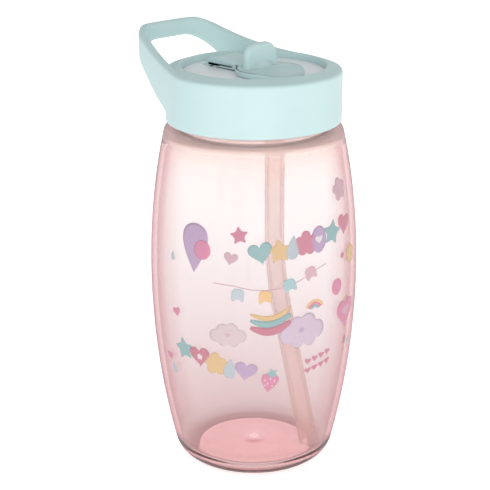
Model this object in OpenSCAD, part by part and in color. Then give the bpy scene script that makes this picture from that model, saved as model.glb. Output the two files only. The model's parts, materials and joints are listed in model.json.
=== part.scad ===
// Kids' water bottle: a clear bottle, a screw cap with a finger loop, and a flip cover
// over a folding straw spout.
// +Z is up, the origin is the centre of the base, and +X is the side that is drunk from.

/* [Bottle body] */
// Radius at the widest point of the belly
belly_r = 37.1; // [36.8:0.1:37.6]
// Height of the widest point
belly_z = 72.8; // [70:0.1:75]
// Radius of the arc from the widest point up to the shoulder
upper_arc_r = 241; // [235:1:250]
// Radius of the arc from the widest point down to the foot
lower_arc_r = 277; // [270:1:290]
// Radius of the rounded foot
foot_r = 9; // [8:0.5:10]
// Thickness of the side wall
wall = 1.9; // [1.6:0.1:2.2]
// Thickness of the floor
floor_t = 4; // [3.5:0.1:4.5]
// Height where the belly turns in to the shoulder
shoulder_z = 122.9; // [122.5:0.1:123]

/* [Neck and thread] */
// Outer radius of the neck under its thread
neck_r = 26.9; // [26.8:0.1:27]
// Radius of the mouth
mouth_r = 24.9; // [24.8:0.1:25]
// Height of the neck's sealing edge
neck_top = 138.6; // [138.4:0.1:138.6]
// Rise of the two-start thread in one turn
thread_lead = 6; // [5.8:0.1:6.2]

/* [Screw cap] */
// Outer radius of the cap
cap_r = 31; // [30.8:0.1:31.4]
// Height of the cap's lower edge
cap_bottom = 126.4; // [126.4:0.1:126.8]
// Height of the outer edge of the cap's sloping rim
cap_top = 144.5; // [144.3:0.1:144.6]
// Inner radius of the skirt
skirt_r = 28.8; // [28.7:0.1:29]
// Radius of the rim's inner edge
rim_r = 25.5; // [25.4:0.1:25.8]
// Height of the rim's inner edge
rim_z = 146.5; // [146.2:0.1:146.8]
// Inner radius of the well that the folded spout lies in
well_r = 22.4; // [22.2:0.1:22.4]

/* [Finger loop] */
// Distance from the axis to the middle of the crossbar
loop_x = 45; // [43:0.5:47]
// Thickness of the strap
strap_t = 3.4; // [3:0.1:3.6]
// Outer radius of the loop's two corners
loop_corner_r = 14; // [13:0.5:14.5]
// Half of the crossbar's straight length
loop_half = 6.4; // [6:0.1:7]
// Height of the crossbar's top
loop_top = 156; // [155:0.5:157]

/* [Flip cover] */
// Hinge axis, measured from the bottle's axis
hinge_x = -13.5; // [-13.6:0.1:-13.4]
// Height of the hinge axis
hinge_z = 139.6; // [139.5:0.1:139.6]
// Centre of the round dish
dish_x = 8; // [7.9:0.1:8.1]
// Radius of the round dish
dish_r = 12; // [11.8:0.1:12.2]
// Width of the thumb tab
tab_w = 14.5; // [12:0.5:15]
// Height of the thumb tab's top
tab_top = 154.2; // [152:0.2:155]

/* [Spout and straw] */
// Distance from the axis to the spout and the top of the straw
spout_x = 10.5; // [10.4:0.1:10.6]
// Height of the spout's fold
fold_z = 137; // [137:0.1:137.1]
// Outer radius of the spout
spout_r = 4.5; // [4.2:0.1:4.5]
// Length of the spout from its fold to its lip
spout_len = 19; // [17:0.5:19]
// Outer radius of the straw
straw_r = 3.5; // [3.2:0.1:3.5]
// Wall of the straw
straw_wall = 0.8; // [0.6:0.1:1]

/* [Hidden] */
$fn = 96;
STEPS = 14;

// Thread: two ridges half a turn apart on the neck, and two in the cap midway between them
thread_z = 129;
thread_step = 15;
thread_lap = 0.5;
neck_steps = 16;
cap_steps = 10;
cap_lag = 30;
neck_ridge = 1.1;
cap_ridge = 1.3;

// Deck of the cap, from the seal's seat up to the top of the white insert
deck_bottom = 140;
ledge_z = 142.4;
ledge_r = 25.1;
insert_r = 25;
insert_top = 144;
well_wall = 1.8;
well_floor = 131;
well_bottom = 129.2;
slot_half = 5.8;
slot_back = -22;
edge_round = 1.2;

// Hinge of the cover: two ears on the well's floor hold the cover's two stub pins
ear_inner = 4.6;
ear_outer = 7.2;
ear_r = 2.6;
pin_r = 1.6;
pin_bore_r = 1.65;
pin_half = 7;

// Cover
cover_bottom = 144.1;
cover_top = 146;
dish_hollow_r = 45;
dish_hollow_x = 11;
dish_hollow_z = 145;
tail_half = 5.4;
tail_x = -17.5;
waist_r = 5;
arch_half = 5.6;
hump_r = 7.9;
lip_deg = 152;
lip_in_r = 6.2;
hump_foot_z = 146.3;
hub_half = 4.2;
hub_r = 3.2;
tab_x = 1.7;
tab_t = 3;
tab_corner = 4.5;

// Spout and straw
bore_r = 2.6;
lip_r = 3.6;
flange_r = 7;
flange_top = 132.2;
stem_r = 4.75;
stem_hole_r = 4.8;
stub_r = 5.6;
stub_bottom = 125.6;
straw_top = 130.4;
straw_azimuth = 39.5;
bend_r = 150;
bend_deg = 11;
bend_top = 88;
straw_end = 7;
SIDES = 24;
BEND_STEPS = 5;
straw_low = bend_top - bend_r * sin(bend_deg);
straw_shift = bend_r * (1 - cos(bend_deg));
straw_tail = (straw_low - straw_end) / cos(bend_deg);

// Vent
vent_x = -2;
vent_y = 13;
vent_stem_r = 1.5;
vent_hole_r = 1.55;
vent_flange_r = 3.2;
vent_bill_r = 2.4;
vent_tip_r = 0.9;
vent_bottom = 126.8;

// Finger loop: the straight arms leave the cap on a tangent at loop_turn degrees
corner_x = loop_x + strap_t / 2 - loop_corner_r;
corner_reach = sqrt(pow(corner_x, 2) + pow(loop_half, 2));
loop_turn = 180 - atan(loop_half / corner_x) - acos((cap_r - loop_corner_r) / corner_reach);
loop_start = 55;
loop_front = 8.7;
loop_foot = 144.7;
loop_power = 2.3;

// Points along an arc about (cx, cy)
function arc(cx, cy, r, from, to, n = STEPS) =
    [for (i = [0:n]) let (a = from + (to - from) * i / n) [cx + r * cos(a), cy + r * sin(a)]];

// Radius of the belly at height z: two arcs that share a tangent at the widest point
function belly(z) =
    let (big = z > belly_z ? upper_arc_r : lower_arc_r)
    belly_r - big + sqrt(big * big - pow(z - belly_z, 2));

// The belly as points from one height to another, moved in by an inset
function belly_points(from, to, inset) =
    [for (i = [0:STEPS]) let (z = from + (to - from) * i / STEPS) [belly(z) - inset, z]];

// Upper and lower edge of the finger loop, seen from the side, at a distance back from the axis
function loop_upper(x) =
    min(loop_top, loop_foot + (loop_top - loop_foot)
        * pow((loop_front - x) / (loop_front + loop_x), loop_power));
function loop_lower(x) = cap_bottom + 0.12 * -x + 0.0082 * x * x;

// A thread ridge of short level steps that climb along a right-hand helix
module thread(profile, first, steps, z) {
    for (start = [0, 180])
        for (i = [0:steps - 1]) {
            turn = first + thread_step * i;
            translate([0, 0, z + thread_lead * (turn + thread_step / 2) / 360])
                rotate([0, 0, start + turn])
                    rotate_extrude(angle = thread_step + thread_lap)
                        polygon(profile);
        }
}

module bottle_body() {
    lean = asin((shoulder_z - belly_z) / upper_arc_r);
    shoulder_round = 4;
    shoulder_c = [belly(shoulder_z) - shoulder_round * cos(lean),
                  shoulder_z - shoulder_round * sin(lean)];
    reach = lower_arc_r - foot_r;
    foot_c = [belly_r - lower_arc_r + sqrt(pow(reach, 2) - pow(belly_z - foot_r, 2)), foot_r];
    foot_turn = asin((belly_z - foot_r) / reach);
    foot_end = foot_c[1] - foot_r * sin(foot_turn);
    inner_r = 5.8;
    inner_c = [belly(floor_t + inner_r) - wall - inner_r, floor_t + inner_r];
    inner_top = 119.5;
    inner_round = 4;
    edge = 0.5;
    color([0.96, 0.77, 0.77, 0.4])
        union() {
            rotate_extrude()
                polygon(concat(
                    [[0, 0]],
                    arc(foot_c[0], foot_c[1], foot_r, -90, -foot_turn),
                    belly_points(foot_end + 1, belly_z, 0),
                    belly_points(belly_z + 1, shoulder_z - 0.5, 0),
                    arc(shoulder_c[0], shoulder_c[1], shoulder_round, lean, 90),
                    [[neck_r, shoulder_c[1] + shoulder_round],
                     [neck_r, neck_top - edge], [neck_r - edge, neck_top], [mouth_r, neck_top],
                     [mouth_r, inner_top + inner_round + 0.5]],
                    arc(belly(inner_top) - wall - inner_round, inner_top, inner_round, 90, 0),
                    belly_points(inner_top - 1, belly_z, wall),
                    belly_points(belly_z - 1, inner_c[1] + 1, wall),
                    arc(inner_c[0], inner_c[1], inner_r, 0, -90),
                    [[0, floor_t]]));
            thread([[neck_r - 0.5, -0.9], [neck_r + neck_ridge, -0.35],
                    [neck_r + neck_ridge, 0.35], [neck_r - 0.5, 0.9]], 0, neck_steps, thread_z);
        }
}

// The finger loop's outline from above: a strap that follows the cap, runs straight to the
// corners and closes in a crossbar
module loop_plan() {
    inner_r = cap_r - strap_t;
    inner_corner = loop_corner_r - strap_t;
    polygon(concat(
        arc(0, 0, cap_r, loop_start, loop_turn),
        arc(-corner_x, loop_half, loop_corner_r, loop_turn, 180),
        arc(-corner_x, -loop_half, loop_corner_r, 180, 360 - loop_turn),
        arc(0, 0, cap_r, 360 - loop_turn, 360 - loop_start),
        arc(0, 0, inner_r, 360 - loop_start, 360 - loop_turn),
        arc(-corner_x, -loop_half, inner_corner, 360 - loop_turn, 180),
        arc(-corner_x, loop_half, inner_corner, 180, loop_turn),
        arc(0, 0, inner_r, loop_turn, loop_start)));
}

module finger_loop() {
    back = loop_x + 3;
    run = loop_front + back;
    intersection() {
        linear_extrude(loop_top + 1)
            loop_plan();
        rotate([90, 0, 0])
            linear_extrude(4 * cap_r, center = true)
                polygon(concat(
                    [for (i = [0:2 * STEPS]) let (x = loop_front - run * i / (2 * STEPS))
                        [x, loop_upper(x)]],
                    [for (i = [0:STEPS]) let (x = -back * (1 - i / STEPS)) [x, loop_lower(x)]],
                    [[loop_front, cap_bottom]]));
    }
}

module hinge_ears() {
    for (side = [-1, 1])
        translate([hinge_x, side * (ear_inner + ear_outer) / 2, 0]) {
            width = ear_outer - ear_inner;
            translate([-ear_r, -width / 2, well_floor - 0.5])
                cube([2 * ear_r, width, hinge_z - well_floor + 0.5]);
            translate([0, 0, hinge_z])
                rotate([90, 0, 0])
                    cylinder(r = ear_r, h = width, center = true);
        }
}

module screw_cap() {
    color([0.78, 0.9, 0.9])
        difference() {
            union() {
                rotate_extrude()
                    polygon(concat(
                        [[0, well_bottom], [well_r + well_wall, well_bottom],
                         [well_r + well_wall, deck_bottom], [skirt_r, deck_bottom],
                         [skirt_r, cap_bottom]],
                        arc(cap_r - edge_round, cap_bottom + edge_round, edge_round, -90, 0, 6),
                        arc(cap_r - edge_round, cap_top - edge_round, edge_round, 0, 65, 6),
                        [[rim_r + 0.4, rim_z], [rim_r, rim_z - 0.2], [ledge_r, insert_top],
                         [ledge_r, ledge_z], [well_r, ledge_z], [well_r, well_floor],
                         [0, well_floor]]));
                difference() {
                    finger_loop();
                    cylinder(r = cap_r - strap_t / 2, h = cap_top - 1);
                }
                hinge_ears();
                thread([[skirt_r + 0.5, -0.8], [skirt_r + 0.5, 0.8],
                        [skirt_r - cap_ridge, 0.3], [skirt_r - cap_ridge, -0.3]],
                       cap_lag, cap_steps, thread_z - thread_lead / 4);
            }
            translate([hinge_x, 0, hinge_z])
                rotate([90, 0, 0])
                    cylinder(r = pin_bore_r, h = 2 * ear_outer + 1, center = true);
            translate([spout_x, 0, well_bottom - 1])
                cylinder(r = stem_hole_r, h = well_floor - well_bottom + 2);
            translate([vent_x, vent_y, well_bottom - 1])
                cylinder(r = vent_hole_r, h = well_floor - well_bottom + 2);
        }
}

module lid_insert() {
    color([0.93, 0.94, 0.95])
        difference() {
            translate([0, 0, ledge_z])
                cylinder(r = insert_r, h = insert_top - ledge_z);
            translate([slot_back, -slot_half, ledge_z - 1])
                cube([spout_x - slot_back, 2 * slot_half, 4]);
            translate([spout_x, 0, ledge_z - 1])
                cylinder(r = slot_half, h = 4);
        }
}

// The cover's outline from above: a round dish, a waist of two hollow arcs and a narrow tail
waist_y = tail_half + waist_r;
waist_x = dish_x - sqrt(pow(dish_r + waist_r, 2) - pow(waist_y, 2));
waist_deg = atan(waist_y / (dish_x - waist_x));
cover_side = concat(arc(dish_x, 0, dish_r, 0, 180 - waist_deg, 40),
                    arc(waist_x, waist_y, waist_r, -waist_deg - 8, -90, 8),
                    [[tail_x, tail_half]]);

module cover_plan() {
    last = len(cover_side) - 1;
    polygon(concat(cover_side,
                   [for (i = [0:last - 1]) [cover_side[last - i][0], -cover_side[last - i][1]]]));
}

// The arch over the hinge, seen from the side. Its back lip reaches down into the slot
cover_arch = concat([[tab_x + 1, cover_bottom + 0.4], [tab_x + 1, hump_foot_z]],
                    arc(hinge_x, hinge_z, hump_r, 88, lip_deg, 20),
                    [[hinge_x + lip_in_r * cos(lip_deg), hinge_z + lip_in_r * sin(lip_deg)]],
                    [[hinge_x - 2, hinge_z + 3.7], [hinge_x + 2, cover_bottom + 0.4]]);

module flip_cover() {
    color([0.74, 0.88, 0.88]) {
        difference() {
            translate([0, 0, cover_bottom])
                linear_extrude(cover_top - cover_bottom)
                    cover_plan();
            translate([dish_hollow_x, 0, dish_hollow_z + dish_hollow_r])
                sphere(r = dish_hollow_r, $fn = 120);
        }
        rotate([90, 0, 0])
            linear_extrude(2 * arch_half, center = true)
                polygon(cover_arch);
        intersection() {
            translate([tab_x, -tab_w / 2, cover_bottom])
                cube([tab_t, tab_w, tab_top - cover_bottom]);
            rotate([90, 0, 90])
                linear_extrude(2 * dish_r)
                    polygon(concat([[-tab_w / 2, 0], [tab_w / 2, 0]],
                                   arc(tab_w / 2 - tab_corner, tab_top - tab_corner,
                                       tab_corner, 0, 90, 8),
                                   arc(tab_corner - tab_w / 2, tab_top - tab_corner,
                                       tab_corner, 90, 180, 8)));
        }
        translate([hinge_x - hub_r, -hub_half, hinge_z])
            cube([2 * hub_r, 2 * hub_half, cover_top - hinge_z - 1]);
        translate([hinge_x, 0, hinge_z])
            rotate([90, 0, 0]) {
                cylinder(r = hub_r, h = 2 * hub_half, center = true);
                cylinder(r = pin_r, h = 2 * pin_half, center = true);
            }
    }
}

module spout_base() {
    color([0.95, 0.93, 0.91, 0.8])
        difference() {
            translate([spout_x, 0, 0]) {
                translate([0, 0, well_floor])
                    cylinder(r = flange_r, h = flange_top - well_floor);
                translate([0, 0, well_bottom])
                    cylinder(r = stem_r, h = well_floor - well_bottom);
                translate([0, 0, stub_bottom])
                    cylinder(r = stub_r, h = well_bottom - stub_bottom);
            }
            translate([spout_x, 0, stub_bottom - 1])
                cylinder(r = straw_r, h = straw_top - stub_bottom + 1);
            translate([spout_x, 0, straw_top - 1])
                cylinder(r = bore_r, h = 4);
        }
}

module spout_tip() {
    color([0.95, 0.93, 0.91, 0.8])
        translate([spout_x, 0, fold_z])
            rotate([0, -90, 0])
                difference() {
                    union() {
                        sphere(r = spout_r);
                        cylinder(r1 = spout_r, r2 = lip_r, h = spout_len);
                    }
                    translate([0, 0, -2 * spout_r])
                        cylinder(r = bore_r, h = 2 * spout_r + spout_len + 1);
                }
}

// The straw's path as [sideways shift, height, tilt]: upright, one gentle bend, then straight
straw_path = concat(
    [[0, straw_top, 0]],
    [for (i = [0:BEND_STEPS]) let (a = bend_deg * i / BEND_STEPS)
        [bend_r * (1 - cos(a)), bend_top - bend_r * sin(a), a]],
    [[straw_shift + straw_tail * sin(bend_deg), straw_end, bend_deg]]);

// A ring of points square to the path at p
function straw_ring(p, r) =
    [for (j = [0:SIDES - 1]) let (t = 360 * j / SIDES)
        [p[0] + r * cos(t) * cos(p[2]), r * sin(t), p[1] + r * cos(t) * sin(p[2])]];

// A tube of rings along the path: the outside, the bore and a flat ring at each end
module drinking_straw() {
    rings = len(straw_path);
    inside = rings * SIDES;
    outer = [for (p = straw_path) each straw_ring(p, straw_r)];
    inner = [for (p = straw_path) each straw_ring(p, straw_r - straw_wall)];
    last = (rings - 1) * SIDES;
    faces = concat(
        [for (i = [0:rings - 2], j = [0:SIDES - 1])
            let (a = i * SIDES + j, b = i * SIDES + (j + 1) % SIDES)
            [a, b, b + SIDES, a + SIDES]],
        [for (i = [0:rings - 2], j = [0:SIDES - 1])
            let (a = inside + i * SIDES + j, b = inside + i * SIDES + (j + 1) % SIDES)
            [a, a + SIDES, b + SIDES, b]],
        [for (j = [0:SIDES - 1]) let (k = (j + 1) % SIDES) [j, j + inside, k + inside, k]],
        [for (j = [0:SIDES - 1]) let (k = (j + 1) % SIDES)
            [last + j, last + k, last + k + inside, last + j + inside]]);
    color([0.97, 0.92, 0.9, 0.5])
        translate([spout_x, 0, 0])
            rotate([0, 0, straw_azimuth])
                polyhedron(points = concat(outer, inner), faces = faces);
}

module cap_seal() {
    play = 0.05;
    color([0.95, 0.95, 0.93, 0.9])
        translate([0, 0, neck_top + play])
            difference() {
                cylinder(r = skirt_r - 0.4, h = deck_bottom - neck_top - 2 * play);
                translate([0, 0, -1])
                    cylinder(r = well_r + well_wall + 0.1, h = 4);
            }
}

module vent_valve() {
    color([0.95, 0.95, 0.93, 0.9])
        translate([vent_x, vent_y, 0]) {
            translate([0, 0, well_floor])
                cylinder(r = vent_flange_r, h = 0.8);
            translate([0, 0, well_bottom])
                cylinder(r = vent_stem_r, h = well_floor - well_bottom);
            translate([0, 0, vent_bottom])
                cylinder(r1 = vent_tip_r, r2 = vent_bill_r, h = well_bottom - vent_bottom);
        }
}

bottle_body();
screw_cap();
lid_insert();
flip_cover();
spout_base();
spout_tip();
drinking_straw();
cap_seal();
vent_valve();
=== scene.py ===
import json
from math import acos, asin, atan, cos, pi, radians, sin, sqrt, tan
import bmesh
import bpy
import numpy as np
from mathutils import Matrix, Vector


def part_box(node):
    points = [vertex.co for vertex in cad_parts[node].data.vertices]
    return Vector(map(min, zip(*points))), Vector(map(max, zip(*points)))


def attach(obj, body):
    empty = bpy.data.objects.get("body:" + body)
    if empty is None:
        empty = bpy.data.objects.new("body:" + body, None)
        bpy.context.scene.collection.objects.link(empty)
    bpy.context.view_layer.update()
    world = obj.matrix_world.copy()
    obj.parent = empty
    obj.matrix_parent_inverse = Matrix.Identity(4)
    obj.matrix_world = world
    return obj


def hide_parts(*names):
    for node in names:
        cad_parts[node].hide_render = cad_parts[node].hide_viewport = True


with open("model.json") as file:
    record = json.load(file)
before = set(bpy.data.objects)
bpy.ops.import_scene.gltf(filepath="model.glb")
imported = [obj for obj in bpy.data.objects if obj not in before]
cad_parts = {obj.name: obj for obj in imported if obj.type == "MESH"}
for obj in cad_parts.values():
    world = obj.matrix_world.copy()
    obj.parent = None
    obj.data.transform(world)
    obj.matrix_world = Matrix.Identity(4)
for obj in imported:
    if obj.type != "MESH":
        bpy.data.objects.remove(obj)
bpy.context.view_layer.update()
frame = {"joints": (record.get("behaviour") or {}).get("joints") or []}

# ---------------------------------------------------------------------------
# Stage: a pale seamless floor, a large soft box on the right, weaker ones on the
# left and behind, and a white room that is dimmer overhead.
# ---------------------------------------------------------------------------
MM = 0.001
scene = bpy.context.scene
scene.view_settings.view_transform = "Standard"
scene.cycles.use_denoising = True
scene.cycles.transparent_max_bounces = 24
scene.cycles.transmission_bounces = 24
scene.cycles.max_bounces = 24


def linear(code):
    """An sRGB hex colour as linear red, green, blue and 1, by the two-part sRGB curve."""
    value = np.array([int(code[i:i + 2], 16) for i in (1, 3, 5)]) / 255
    curve = np.where(value <= 0.04045, value / 12.92, ((value + 0.055) / 1.055) ** 2.4)
    return (*curve.tolist(), 1.0)


def add(tree, kind, values=None, links=None, **settings):
    """A node: settings are its options, values its sockets' constants, links what feeds them."""
    node = tree.nodes.new(kind)
    for name, value in settings.items():
        setattr(node, name, value)
    for name, value in (values or {}).items():
        node.inputs[name].default_value = value
    for name, source in (links or {}).items():
        tree.links.new(source, node.inputs[name])
    return node


def new_material(name):
    """An empty node material, its tree and its output node."""
    made = bpy.data.materials.new(name)
    made.use_nodes = True
    made.node_tree.nodes.clear()
    return made, made.node_tree, made.node_tree.nodes.new("ShaderNodeOutputMaterial")


def soft_box(name, place, aim, width, height, power, colour="#ffffff"):
    """A rectangular area lamp at place, turned so that it faces aim. Lengths are in metres."""
    data = bpy.data.lights.new(name, "AREA")
    data.shape = "RECTANGLE"
    data.size = width
    data.size_y = height
    data.energy = power
    data.color = linear(colour)[:3]
    lamp = bpy.data.objects.new(name, data)
    lamp.location = place
    away = np.array(aim) - np.array(place)
    lamp.rotation_euler = Vector(away.tolist()).to_track_quat("-Z", "Y").to_euler()
    lamp.visible_glossy = False
    lamp.visible_transmission = False
    scene.collection.objects.link(lamp)


floor_mesh = bpy.data.meshes.new("floor")
floor_half = 4.0
floor_mesh.from_pydata([(-floor_half, -floor_half, 0), (floor_half, -floor_half, 0),
                        (floor_half, floor_half, 0), (-floor_half, floor_half, 0)],
                       [], [(0, 1, 2, 3)])
floor = bpy.data.objects.new("floor", floor_mesh)
scene.collection.objects.link(floor)
floor_paint, tree, out = new_material("white_paper_sweep")
paper = add(tree, "ShaderNodeBsdfPrincipled",
            {"Base Color": linear("#f4f4f4"), "Roughness": 0.9, "Specular IOR Level": 0.1,
             "Emission Color": linear("#ffffff"), "Emission Strength": 0.6})
tree.links.new(paper.outputs["BSDF"], out.inputs["Surface"])
floor_mesh.materials.append(floor_paint)

world = bpy.data.worlds.new("white_room")
scene.world = world
world.use_nodes = True
sky = world.node_tree
back = sky.nodes["Background"]
toward = add(sky, "ShaderNodeTexCoord")
parts = add(sky, "ShaderNodeSeparateXYZ", None, {"Vector": toward.outputs["Generated"]})
dimming = add(sky, "ShaderNodeMapRange",
              {"From Min": 0.15, "From Max": 0.85, "To Min": 0.72, "To Max": 0.46},
              {"Value": parts.outputs["Z"]})
back.inputs["Color"].default_value = linear("#ffffff")
sky.links.new(dimming.outputs["Result"], back.inputs["Strength"])

aim_point = (0, 0, 0.08)
soft_box("key_box", (0.83, -0.48, 0.4), aim_point, 0.5, 0.8, 3.6, "#fffdfb")
soft_box("fill_box", (-0.35, -0.9, 0.3), aim_point, 0.4, 0.8, 0.8, "#f4f8ff")
soft_box("back_box", (-0.5, 0.7, 0.6), aim_point, 0.6, 0.5, 1.5)

# The camera looks down at 18 degrees from 0.51 m off, between the front and the spout's side.
camera_data = bpy.data.cameras.new("camera")
camera_data.lens = 109.47
camera_data.sensor_width = 36
camera_data.shift_x = -0.0178
camera = bpy.data.objects.new("camera", camera_data)
camera.location = (0.3679, -0.3553, 0.2491)
camera.rotation_euler = (radians(71.7), 0, radians(46))
scene.collection.objects.link(camera)
scene.camera = camera

# ---------------------------------------------------------------------------
# Bottle body: one injection-moulded piece of clear pink copolyester. Its belly
# is two arcs that meet at the widest point, over a thick floor, with a
# two-start thread on the neck.
# ---------------------------------------------------------------------------
body_high = np.array(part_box("bottle_body")[1]) / MM
cap_low, cap_high = (np.array(v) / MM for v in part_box("screw_cap"))
belly_r = body_high[0]
belly_z = 72.8
upper_arc_r = 241
lower_arc_r = 277
foot_r = 9
wall = 1.9
floor_t = 4
shoulder_z = 122.9
neck_r = 26.9
mouth_r = 24.9
neck_top = body_high[2]
thread_z = 129
thread_lead = 6


def arc(cx, cy, r, start, end, n=10):
    """Points on an arc about (cx, cy), from the start to the end angle in degrees."""
    a = np.radians(np.linspace(start, end, n + 1))
    return np.stack([cx + r * np.cos(a), cy + r * np.sin(a)], -1)


def belly(z):
    """Radius of the belly at height z: the upper or lower arc through the widest point."""
    big = np.where(z > belly_z, upper_arc_r, lower_arc_r)
    return belly_r - big + np.sqrt(big ** 2 - (z - belly_z) ** 2)


def belly_run(start, end, inset, n=40):
    """The belly's points from one height to another, moved in by the inset."""
    z = np.linspace(start, end, n)
    return np.stack([belly(z) - inset, z], -1)


def turned(profile, steps=192, ripple=None):
    """A profile of radius and height, turned round the axis. ripple(angle, z) adds to the
    radius."""
    angle = np.linspace(0, 2 * pi, steps, endpoint=False)[None, :]
    r, z = profile[:, 0:1], profile[:, 1:2]
    r = r + 0 * angle + (ripple(angle, z) if ripple else 0)
    return np.stack([r * np.cos(angle), r * np.sin(angle), z + 0 * angle], -1)


def quads(rows, columns, wrap, first):
    """Faces of a grid of points, as four corner numbers each. wrap joins its last column to
    its first."""
    i, j = np.meshgrid(np.arange(rows - 1), np.arange(columns if wrap else columns - 1),
                       indexing="ij")
    k = (j + 1) % columns
    corners = [i * columns + j, i * columns + k, (i + 1) * columns + k, (i + 1) * columns + j]
    return np.stack(corners, -1).reshape(-1, 4) + first


def piece(name, grids, finish, body, wrap=True, closed=True, sharp=40):
    """A mesh piece from grids of points in millimetres, smooth except over the sharp angle.
    Doubles are merged, and a closed piece has its normals turned outwards."""
    points = np.concatenate([g.reshape(-1, 3) for g in grids]) * MM
    firsts = np.cumsum([0] + [g.shape[0] * g.shape[1] for g in grids])
    faces = np.concatenate([quads(g.shape[0], g.shape[1], wrap, f)
                            for g, f in zip(grids, firsts)])
    mesh = bpy.data.meshes.new(name)
    mesh.from_pydata(points, [], faces.tolist())
    work = bmesh.new()
    work.from_mesh(mesh)
    bmesh.ops.remove_doubles(work, verts=work.verts, dist=1e-6)
    if closed:
        bmesh.ops.recalc_face_normals(work, faces=work.faces)
    work.to_mesh(mesh)
    work.free()
    mesh.shade_smooth()
    mesh.set_sharp_from_angle(angle=radians(sharp))
    mesh.materials.append(finish)
    made = bpy.data.objects.new(name, mesh)
    scene.collection.objects.link(made)
    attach(made, body)
    return made


def step(low, high, x):
    """A smooth rise from 0 at low to 1 at high."""
    t = np.clip((x - low) / (high - low), 0, 1)
    return t * t * (3 - 2 * t)


def thread_ridge(angle, z, base, first, last):
    """Height from 0 to 1 of a two-start right-hand thread: each start climbs one lead a turn
    from the base height, and fades out at the first and last degree."""
    ridge = 0
    for start in (0, 180):
        turn = np.mod(np.degrees(angle) - start, 360)
        off = z - base - thread_lead * turn / 360
        ridge = ridge + (np.exp(-(off / 0.6) ** 4)
                         * step(first, first + 12, turn) * (1 - step(last - 12, last, turn)))
    return ridge


def neck_ripple(angle, z):
    """The neck's thread stands 1.1 mm proud. It is only on the outside of the neck."""
    outside = np.zeros_like(z)
    outside[neck_rows] = 1
    return 1.1 * outside * thread_ridge(angle, z, thread_z, 0, 240)


lean = asin((shoulder_z - belly_z) / upper_arc_r)
shoulder_x = float(belly(shoulder_z)) - 4 * cos(lean)
shoulder_y = shoulder_z - 4 * sin(lean)
reach = lower_arc_r - foot_r
foot_x = belly_r - lower_arc_r + sqrt(reach ** 2 - (belly_z - foot_r) ** 2)
foot_turn = np.degrees(asin((belly_z - foot_r) / reach))
foot_end = foot_r - foot_r * sin(radians(foot_turn))
inner_r = 5.8
inner_x = float(belly(floor_t + inner_r)) - wall - inner_r
dimple_r = 3.2
dimple = np.linspace(2.4 * dimple_r, 0, 14)
before_neck = [
    np.array([[0, 0], [10, 0], [foot_x - 1, 0]]),
    arc(foot_x, foot_r, foot_r, -90, -foot_turn, 20),
    belly_run(foot_end + 1, shoulder_z - 1, 0, 64),
    arc(shoulder_x, shoulder_y, 4, np.degrees(lean), 90, 14),
    np.array([[neck_r + 0.6, shoulder_y + 4], [neck_r, shoulder_y + 4.4]]),
]
neck_z = np.linspace(shoulder_y + 4.8, neck_top - 1.2, 44)
neck_run = np.stack([np.full_like(neck_z, neck_r), neck_z], -1)
first_neck = sum(len(p) for p in before_neck)
neck_rows = slice(first_neck, first_neck + len(neck_run))
body_profile = np.concatenate(before_neck + [
    neck_run,
    arc(neck_r - 0.5, neck_top - 0.5, 0.5, 0, 90, 5),
    arc(mouth_r + 0.4, neck_top - 0.4, 0.4, 90, 180, 5),
    np.array([[mouth_r, 134], [mouth_r, 128], [mouth_r, 125]]),
    arc(float(belly(119.5)) - wall - 4, 119.5, 4, 88, 0, 14),
    belly_run(118.5, floor_t + inner_r + 1, wall, 64),
    arc(inner_x, floor_t + inner_r, inner_r, 0, -90, 16),
    np.array([[inner_x - 1, floor_t], [12, floor_t]]),
    np.stack([dimple, floor_t - 0.9 * np.exp(-(dimple / dimple_r) ** 2)], -1),
])

# Clear copolyester, mirror-smooth from a polished mould with a faint long wave. The dye is
# in the mass, so it is deepest in the foot, at the shoulder and where one looks along the wall.
# The base colour is also darkened and greyed towards the foot: painted shade.
clear_pink, tree, out = new_material("clear_copolyester_moulded_pink")
place = add(tree, "ShaderNodeTexCoord")
wave = add(tree, "ShaderNodeTexNoise", {"Scale": 45.0, "Detail": 1.0},
           {"Vector": place.outputs["Object"]})
bump = add(tree, "ShaderNodeBump", {"Strength": 0.08, "Distance": 0.0006},
           {"Height": wave.outputs["Fac"]})
parts = add(tree, "ShaderNodeSeparateXYZ", None, {"Vector": place.outputs["Object"]})
up_wall = add(tree, "ShaderNodeMapRange", {"From Min": 0.0, "From Max": 0.125},
              {"Value": parts.outputs["Z"]})
# Painted shade: this ramp makes the base colour darker and greyer towards the foot.
painted_foot_shade = add(tree, "ShaderNodeValToRGB", None, {"Fac": up_wall.outputs["Result"]})
foot_shade_stops = painted_foot_shade.color_ramp
foot_shade_stops.elements[0].color = linear("#d2bfbf")
foot_shade_stops.elements[1].color = linear("#faeae4")
for at, code in ((0.05, "#e6d8d8"), (0.3, "#ede6e7"), (0.6, "#f4f2f2"), (0.88, "#f8f7f6")):
    foot_shade_stops.elements.new(at).color = linear(code)
slant = add(tree, "ShaderNodeLayerWeight", {"Blend": 0.42})
edge = add(tree, "ShaderNodeMapRange", {"From Min": 0.3, "From Max": 0.95,
                                        "To Min": 0.0, "To Max": 0.9},
           {"Value": slant.outputs["Facing"]})
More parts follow.
